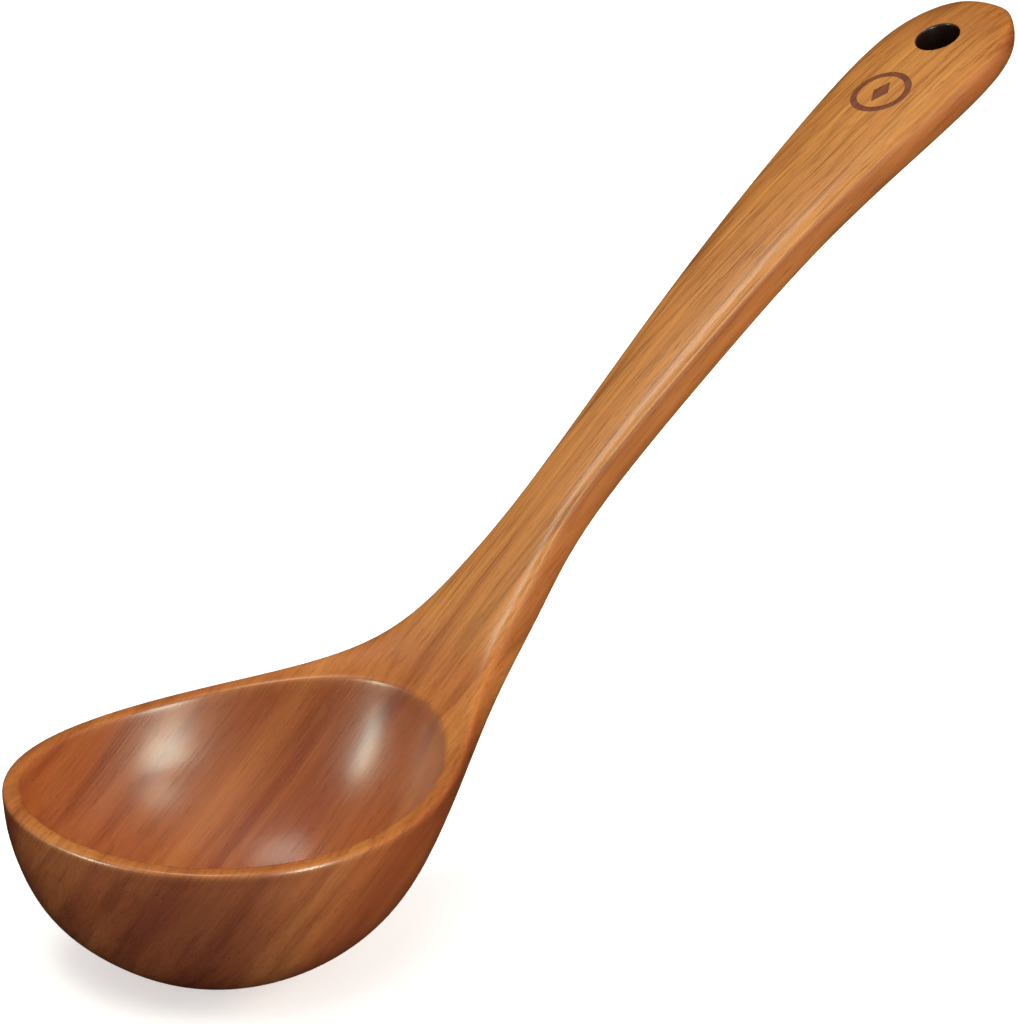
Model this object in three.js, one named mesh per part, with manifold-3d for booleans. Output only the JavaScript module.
// Wooden soup ladle carved from one piece of wood: an egg-shaped bowl whose rim runs
// straight into a long handle, with a hanging hole and a small mark burned into the grip.
//
// Frame: millimetres, +Z up. The origin is on the small flat under the bowl, straight below
// the middle of the rim. +X points from there towards the handle, +Y is across the ladle.
import * as THREE from "three";
import { mergeVertices } from "three/addons/utils/BufferGeometryUtils.js";
import Module from "manifold-3d";

// ---- Bowl ----
const RIM_RADIUS = 47.5; // half the bowl's width over the rim
const RIM_WIDTH = 4; // wall thickness at the rim
const RIM_HEIGHT = 38; // rim above the rest flat, in the middle of the bowl
const RIM_RISE = 0.07; // climb of the rim per millimetre towards the handle
const RIM_ENDS = 2.6; // extra height of the rim at its two ends
const RIM_HOOK = 2.9; // extra height of the rim at the handle only, and as much less at the lip
const EGG = 0.15; // blunts the lip end and draws out the handle end
const EDGE_SUPPORT = 1.5; // the sharper this small step is, the crisper the rim's edges are
const REST_SHIFT = -4.7; // the rest flat lies this far towards the lip from the rim's middle
const REST_RADIUS = 11; // the flat itself
const REST_BLEND = 5; // width of the soft ring between the flat and the round wall
const FLOOR_THICKNESS = 0.12; // wood under the hollow, as a share of RIM_HEIGHT
// Wall rings between the rim and the flat: radius and height as shares of the rim's.
const OUTER_WALL = [
  { radius: 0.99, height: 0.925 },
  { radius: 0.965, height: 0.74 },
  { radius: 0.825, height: 0.365 },
  { radius: 0.6, height: 0.14 },
];
const INNER_WALL = [
  { radius: 0.96, height: 0.68 },
  { radius: 0.8, height: 0.42 },
  { radius: 0.57, height: 0.2 },
];

// ---- Handle ----
// Stations along the handle: the middle of its top face, as distances out and up from the
// rim's end, with the full width and the thickness there. The last station closes the tip.
const HANDLE = [
  { out: 4, up: 2, width: 29, thick: 14.5 },
  { out: 22.5, up: 16, width: 21, thick: 13 },
  { out: 37.5, up: 30, width: 13, thick: 12 },
  { out: 76.5, up: 59, width: 20, thick: 12.3 },
  { out: 110, up: 83, width: 23.5, thick: 13.5 },
  { out: 150, up: 105, width: 34, thick: 14.5 },
  { out: 169, up: 114.5, width: 32, thick: 14 },
  { out: 178.8, up: 118, width: 15.5, thick: 10.8 },
];
const CROWN_NECK = 0.02; // sag of the top face at its edges, as a share of the thickness
const CROWN_TIP = 0.15;
const SHOULDER_NECK = 0.22; // depth of the shoulder below the top face, same share
const SHOULDER_TIP = 0.34;
const SIDE_BULGE = 1.03; // the sides stand out a little past the top face
const SIDE_TUCK = 0.05; // and draw in again by this much
const SIDE_LOW = 0.62; // depth of the second side line, same share as the shoulder
const BELLY_WIDTH = 0.72; // the underside is narrower than the top face
const BELLY_ROUND = 0.17; // and curves up at its edges
const TIP_ROUND = 1; // how far the end face swells out

// ---- Hanging hole and burned mark ----
// Both lie on the grip's middle line, at a distance back from the last full station.
const HOLE_RADIUS = 5;
const HOLE_BACK = 7.2;
const HOLE_CHAMFER = 0.7;
const MARK_BACK = 28.8;
const MARK_RING_OUTER = 7.2;
const MARK_RING_INNER = 5.6;
const MARK_LOZENGE_LENGTH = 7.4; // along the grip
const MARK_LOZENGE_WIDTH = 4.2;
const MARK_SINK = 0.15; // the charred wood lies this far below the surface
const MARK_DEPTH = 0.8; // thickness of the charred layer
const GAP = 0.3; // clear space between the charred layer and the sound wood

// ---- Cage layout ----
const SEGMENTS = 16; // cage columns round the bowl
const PORT = 2; // the handle grows from this many columns on each side of +X
const SIDE_ROWS = 2; // cage rows between the handle's top and bottom faces
const SMOOTHINGS = 2;
const ROUND = 32; // sides of the round cuts

const WOOD = { color: 0xb3703a, roughness: 0.42, metalness: 0 };
const CHARRED = { color: 0x8a4a2c, roughness: 0.7, metalness: 0 };

const wasm = await Module();
wasm.setup();

// ---------------------------------------------------------------- rings of the bowl
const lerp = (a, b, t) => a + (b - a) * t;

const rimHeightAt = (x) => {
  const u = x / RIM_RADIUS;
  return RIM_HEIGHT + RIM_RISE * x + RIM_ENDS * u ** 2 + RIM_HOOK * u ** 3;
};

// One ring of cage points round the bowl. share is its height as a share of the rim's,
// and the rings drift towards the lip as they go down.
function bowlRing(radius, share, drop = 0) {
  return Array.from({ length: SEGMENTS }, (_, j) => {
    const angle = (2 * Math.PI * j) / SEGMENTS;
    const egg = EGG * (Math.cos(angle) ** 2 - 0.5);
    const x = REST_SHIFT * (1 - share) + radius * (Math.cos(angle) + egg);
    return new THREE.Vector3(x, radius * Math.sin(angle), share * rimHeightAt(x) - drop);
  });
}

function flatRing(radius) {
  return Array.from({ length: SEGMENTS }, (_, j) => {
    const angle = (2 * Math.PI * j) / SEGMENTS;
    return new THREE.Vector3(REST_SHIFT + radius * Math.cos(angle), radius * Math.sin(angle), 0);
  });
}

const hollowRadius = RIM_RADIUS - RIM_WIDTH;
const outerRings = [
  bowlRing(RIM_RADIUS, 1),
  bowlRing(RIM_RADIUS, 1, EDGE_SUPPORT),
  ...OUTER_WALL.map((w) => bowlRing(RIM_RADIUS * w.radius, w.height)),
  flatRing(REST_RADIUS + REST_BLEND),
  flatRing(REST_RADIUS),
];
const innerRings = [
  bowlRing(RIM_RADIUS - RIM_WIDTH / 2, 1),
  bowlRing(hollowRadius, 1),
  bowlRing(hollowRadius, 1, EDGE_SUPPORT),
  ...INNER_WALL.map((w) => bowlRing(hollowRadius * w.radius, w.height)),
];

// ---------------------------------------------------------------- rings of the handle
// Axis direction at each station: along the chord between its two neighbours.
const rimEnd = outerRings[0][0];
const spine = HANDLE.map((s) => new THREE.Vector3(s.out, 0, s.up).add(rimEnd));
const lastStep = spine.at(-1).clone().sub(spine.at(-2));
const extended = [rimEnd, ...spine, spine.at(-1).clone().add(lastStep)];
const along = spine.map((_, i) => extended[i + 2].clone().sub(extended[i]).normalize());
const across = new THREE.Vector3(0, 1, 0);
const outOf = along.map((d) => d.clone().cross(across).normalize()); // normal of the top face

function handleRing(i) {
  const { width, thick } = HANDLE[i];
  const half = width / 2;
  const t = i / (HANDLE.length - 1);
  const crown = lerp(CROWN_NECK, CROWN_TIP, t ** 2);
  const shoulder = lerp(SHOULDER_NECK, SHOULDER_TIP, t);
  const columns = [-1, -0.5, 0, 0.5, 1];
  const top = columns.map((f) => [half * f, -thick * crown * f ** 2]);
  const side = [
    [half * SIDE_BULGE, -thick * shoulder],
    [half * (SIDE_BULGE - SIDE_TUCK), -thick * SIDE_LOW],
  ];
  const belly = columns
    .map((f) => [half * BELLY_WIDTH * f, -thick * (1 - BELLY_ROUND * f ** 2)])
    .reverse();
  const farSide = side.map(([y, n]) => [-y, n]).reverse();
  return [...top, ...side, ...belly, ...farSide].map(([y, n]) =>
    spine[i].clone().addScaledVector(across, y).addScaledVector(outOf[i], n),
  );
}

// ---------------------------------------------------------------- the cage
const points = [];
const faces = [];
const addAll = (list) => list.map((p) => points.push(p) - 1);

const outer = outerRings.map(addAll);
const inner = innerRings.map(addAll);
const underPole = points.push(new THREE.Vector3(REST_SHIFT, 0, 0)) - 1;
const floorPole = points.push(new THREE.Vector3(REST_SHIFT, 0, FLOOR_THICKNESS * RIM_HEIGHT)) - 1;
const column = (j) => (j + SEGMENTS) % SEGMENTS;
const next = (j) => column(j + 1);

for (let r = 0; r < outer.length - 1; r += 1) {
  for (let j = 0; j < SEGMENTS; j += 1) {
    const signed = j < SEGMENTS / 2 ? j : j - SEGMENTS;
    const inPort = r <= SIDE_ROWS && signed >= -PORT && signed < PORT;
    if (!inPort) faces.push([outer[r][j], outer[r + 1][j], outer[r + 1][next(j)], outer[r][next(j)]]);
  }
}
for (let j = 0; j < SEGMENTS; j += 1) {
  const lowest = outer.at(-1);
  const deepest = inner.at(-1);
  faces.push([lowest[j], underPole, lowest[next(j)]]);
  faces.push([inner[0][j], outer[0][j], outer[0][next(j)], inner[0][next(j)]]);
  for (let r = 0; r < inner.length - 1; r += 1)
    faces.push([inner[r + 1][j], inner[r][j], inner[r][next(j)], inner[r + 1][next(j)]]);
  faces.push([deepest[next(j)], floorPole, deepest[j]]);
}

// Round the port: along the rim, down the near side, back along the wall, up the far side.
const portColumns = Array.from({ length: 2 * PORT + 1 }, (_, k) => k - PORT);
const sideLevels = Array.from({ length: SIDE_ROWS }, (_, k) => k + 1);
const portLoop = [
  ...portColumns.map((j) => outer[0][column(j)]),
  ...sideLevels.map((r) => outer[r][PORT]),
  ...portColumns.toReversed().map((j) => outer[SIDE_ROWS + 1][column(j)]),
  ...sideLevels.toReversed().map((r) => outer[r][column(-PORT)]),
];
let loop = portLoop;
for (let i = 0; i < HANDLE.length; i += 1) {
  const ring = addAll(handleRing(i));
  for (let k = 0; k < ring.length; k += 1) {
    const m = (k + 1) % ring.length;
    faces.push([loop[k], ring[k], ring[m], loop[m]]);
  }
  loop = ring;
}

// End face: a small grid between the last ring's top and bottom, pushed out a little.
const wide = portColumns.length;
const tipOut = along.at(-1).clone().multiplyScalar(TIP_ROUND);
const topRow = loop.slice(0, wide);
const bottomRow = loop.slice(wide + SIDE_ROWS, 2 * wide + SIDE_ROWS).toReversed();
const rows = [topRow];
sideLevels.forEach((level) => {
  const share = level / (SIDE_ROWS + 1);
  const middle = topRow.slice(1, -1).map((top, c) => {
    const between = points[top].clone().lerp(points[bottomRow[c + 1]], share);
    return points.push(between.add(tipOut)) - 1;
  });
  const near = loop[wide + level - 1];
  const far = loop[loop.length - level];
  rows.push([far, ...middle, near]);
});
rows.push(bottomRow);
for (let s = 0; s < rows.length - 1; s += 1) {
  for (let c = 0; c < wide - 1; c += 1)
    faces.push([rows[s][c], rows[s + 1][c], rows[s + 1][c + 1], rows[s][c + 1]]);
}

// ---------------------------------------------------------------- smoothing
// One step of Catmull-Clark: every face becomes quads, and every point moves to the
// weighted mean of its neighbourhood.
function smoothOnce(cage) {
  const edges = new Map();
  const around = cage.points.map(() => ({ faces: [], edges: [] }));
  const centres = cage.faces.map((face) => {
    const centre = new THREE.Vector3();
    face.forEach((v) => centre.add(cage.points[v]));
    return centre.divideScalar(face.length);
  });
  const edgeOf = (a, b) => edges.get(`${Math.min(a, b)}_${Math.max(a, b)}`);
  cage.faces.forEach((face, f) => {
    face.forEach((a, k) => {
      const b = face[(k + 1) % face.length];
      const key = `${Math.min(a, b)}_${Math.max(a, b)}`;
      if (!edges.has(key)) {
        const edge = { a, b, faces: [] };
        edges.set(key, edge);
        around[a].edges.push(edge);
        around[b].edges.push(edge);
      }
      edges.get(key).faces.push(f);
      around[a].faces.push(f);
    });
  });
  const result = cage.points.map((p, v) => {
    const n = around[v].faces.length;
    if (n === 0) return p.clone();
    const faceMean = new THREE.Vector3();
    around[v].faces.forEach((f) => faceMean.add(centres[f]));
    faceMean.divideScalar(n);
    const edgeMean = new THREE.Vector3();
    around[v].edges.forEach((e) => edgeMean.add(cage.points[e.a]).add(cage.points[e.b]));
    edgeMean.divideScalar(2 * n);
    return faceMean
      .addScaledVector(edgeMean, 2)
      .addScaledVector(p, n - 3)
      .divideScalar(n);
  });
  edges.forEach((edge) => {
    const [f, g] = edge.faces;
    const middle = cage.points[edge.a].clone().add(cage.points[edge.b]);
    middle.add(centres[f]).add(centres[g]).divideScalar(4);
    edge.index = result.push(middle) - 1;
  });
  const centreIndex = centres.map((c) => result.push(c) - 1);
  const quads = cage.faces.flatMap((face, f) =>
    face.map((v, k) => {
      const after = edgeOf(v, face[(k + 1) % face.length]).index;
      const before = edgeOf(face.at(k - 1), v).index;
      return [v, after, centreIndex[f], before];
    }),
  );
  return { points: result, faces: quads };
}

let surface = { points, faces };
for (let i = 0; i < SMOOTHINGS; i += 1) surface = smoothOnce(surface);

function geometryOf({ points: vertices, faces: polygons }) {
  const geometry = new THREE.BufferGeometry();
  const positions = vertices.flatMap((p) => [p.x, p.y, p.z]);
  const index = polygons.flatMap(([a, b, c, d]) => [a, b, c, a, c, d]);
  geometry.setAttribute("position", new THREE.Float32BufferAttribute(positions, 3));
  geometry.setIndex(index);
  return geometry.toNonIndexed();
}

// ---------------------------------------------------------------- cuts and inlays
function solidFrom(geometry) {
  const bare = geometry.clone();
  bare.deleteAttribute("normal");
  bare.deleteAttribute("uv");
  const merged = mergeVertices(bare);
  return new wasm.Manifold(
    new wasm.Mesh({
      numProp: 3,
      vertProperties: merged.attributes.position.array,
      triVerts: new Uint32Array(merged.index.array),
    }),
  );
}

function geometryFrom(solid) {
  const { vertProperties, triVerts } = solid.getMesh();
  const geometry = new THREE.BufferGeometry();
  geometry.setAttribute("position", new THREE.BufferAttribute(vertProperties, 3));
  geometry.setIndex(new THREE.BufferAttribute(triVerts, 1));
  geometry.computeVertexNormals();
  return geometry;
}

const shell = geometryOf(surface);
const gripEnd = spine.at(-2);
const gripAxis = gripEnd.clone().sub(spine.at(-3)).normalize();
const gripUp = gripAxis.clone().cross(across).normalize();
const probe = new THREE.Mesh(shell, new THREE.MeshStandardMaterial({ side: THREE.DoubleSide }));

// Points where the grip's normal, at a distance back from its end, meets the top and the underside.
function throughGrip(back) {
  const above = 2 * HANDLE.at(-2).thick;
  const start = gripEnd.clone().addScaledVector(gripAxis, -back).addScaledVector(gripUp, above);
  const hits = new THREE.Raycaster(start, gripUp.clone().negate()).intersectObject(probe);
  return { top: hits[0].point, bottom: hits.at(-1).point };
}

// Turns a shape whose own axis is +Z so that the axis is the grip's normal.
const gripTurn = new THREE.Matrix4().makeBasis(gripAxis, across, gripUp);
const onGrip = (geometry, centre) =>
  geometry.applyMatrix4(gripTurn).translate(centre.x, centre.y, centre.z);

// The hole, with a small chamfer at both mouths.
const holeAt = throughGrip(HOLE_BACK);
const holeMiddle = holeAt.top.clone().lerp(holeAt.bottom, 0.5);
const holeLength = 2 * holeAt.top.distanceTo(holeAt.bottom);
const bore = new THREE.CylinderGeometry(HOLE_RADIUS, HOLE_RADIUS, holeLength, ROUND);
const flare = HOLE_RADIUS + 2 * HOLE_CHAMFER;
const mouth = new THREE.CylinderGeometry(flare, HOLE_RADIUS - HOLE_CHAMFER, 3 * HOLE_CHAMFER, ROUND);
const mouthShift = HOLE_CHAMFER / 2;
const cuts = [
  onGrip(bore.rotateX(Math.PI / 2), holeMiddle),
  onGrip(mouth.clone().rotateX(Math.PI / 2), holeAt.top.clone().addScaledVector(gripUp, mouthShift)),
  onGrip(mouth.clone().rotateX(-Math.PI / 2), holeAt.bottom.clone().addScaledVector(gripUp, -mouthShift)),
];

// The mark: a ring with a lozenge in it. Each charred area is a thin layer that follows the
// crown of the grip, in a pocket a little larger and deeper than itself.
function ringShape(grow) {
  const shape = new THREE.Shape().absarc(0, 0, MARK_RING_OUTER + grow, 0, 2 * Math.PI);
  const hole = new THREE.Path().absarc(0, 0, MARK_RING_INNER - grow, 0, 2 * Math.PI, true);
  shape.holes.push(hole);
  return shape;
}

// Moving a lozenge's sides out by grow moves each corner out by more than that.
function lozengeShape(grow) {
  const halfLength = MARK_LOZENGE_LENGTH / 2;
  const halfWidth = MARK_LOZENGE_WIDTH / 2;
  const side = Math.hypot(halfLength, halfWidth);
  const length = halfLength + (grow * side) / halfWidth;
  const width = halfWidth + (grow * side) / halfLength;
  return new THREE.Shape([
    new THREE.Vector2(length, 0),
    new THREE.Vector2(0, width),
    new THREE.Vector2(-length, 0),
    new THREE.Vector2(0, -width),
  ]);
}

const markAt = throughGrip(MARK_BACK).top;
const markReach = 4 * (MARK_DEPTH + MARK_SINK + GAP);
function punch(shape) {
  const options = { depth: 2 * markReach, bevelEnabled: false, curveSegments: ROUND / 2 };
  const prism = new THREE.ExtrudeGeometry(shape, options);
  return solidFrom(onGrip(prism.translate(0, 0, -markReach), markAt));
}
const sunkShell = (depth) => {
  const down = gripUp.clone().multiplyScalar(-depth);
  return solidFrom(shell.clone().translate(down.x, down.y, down.z));
};
const layerTop = sunkShell(MARK_SINK);
const layerBottom = sunkShell(MARK_SINK + MARK_DEPTH);
const pocketBottom = sunkShell(MARK_SINK + MARK_DEPTH + GAP);

const markAreas = [
  { name: "burned_mark_ring", shape: ringShape },
  { name: "burned_mark_lozenge", shape: lozengeShape },
];

let body = solidFrom(shell);
cuts.forEach((cut) => {
  body = body.subtract(solidFrom(cut));
});
markAreas.forEach(({ shape }) => {
  body = body.subtract(punch(shape(GAP)).subtract(pocketBottom));
});

const meshOf = (name, solid, look) => {
  const mesh = new THREE.Mesh(geometryFrom(solid), new THREE.MeshStandardMaterial(look));
  mesh.name = name;
  return mesh;
};

const ladle = new THREE.Group();
ladle.name = "ladle";
ladle.add(meshOf("ladle_body", body, WOOD));
markAreas.forEach(({ name, shape }) => {
  const layer = punch(shape(0)).intersect(layerTop).subtract(layerBottom);
  ladle.add(meshOf(name, layer, CHARRED));
});

export default ladle;
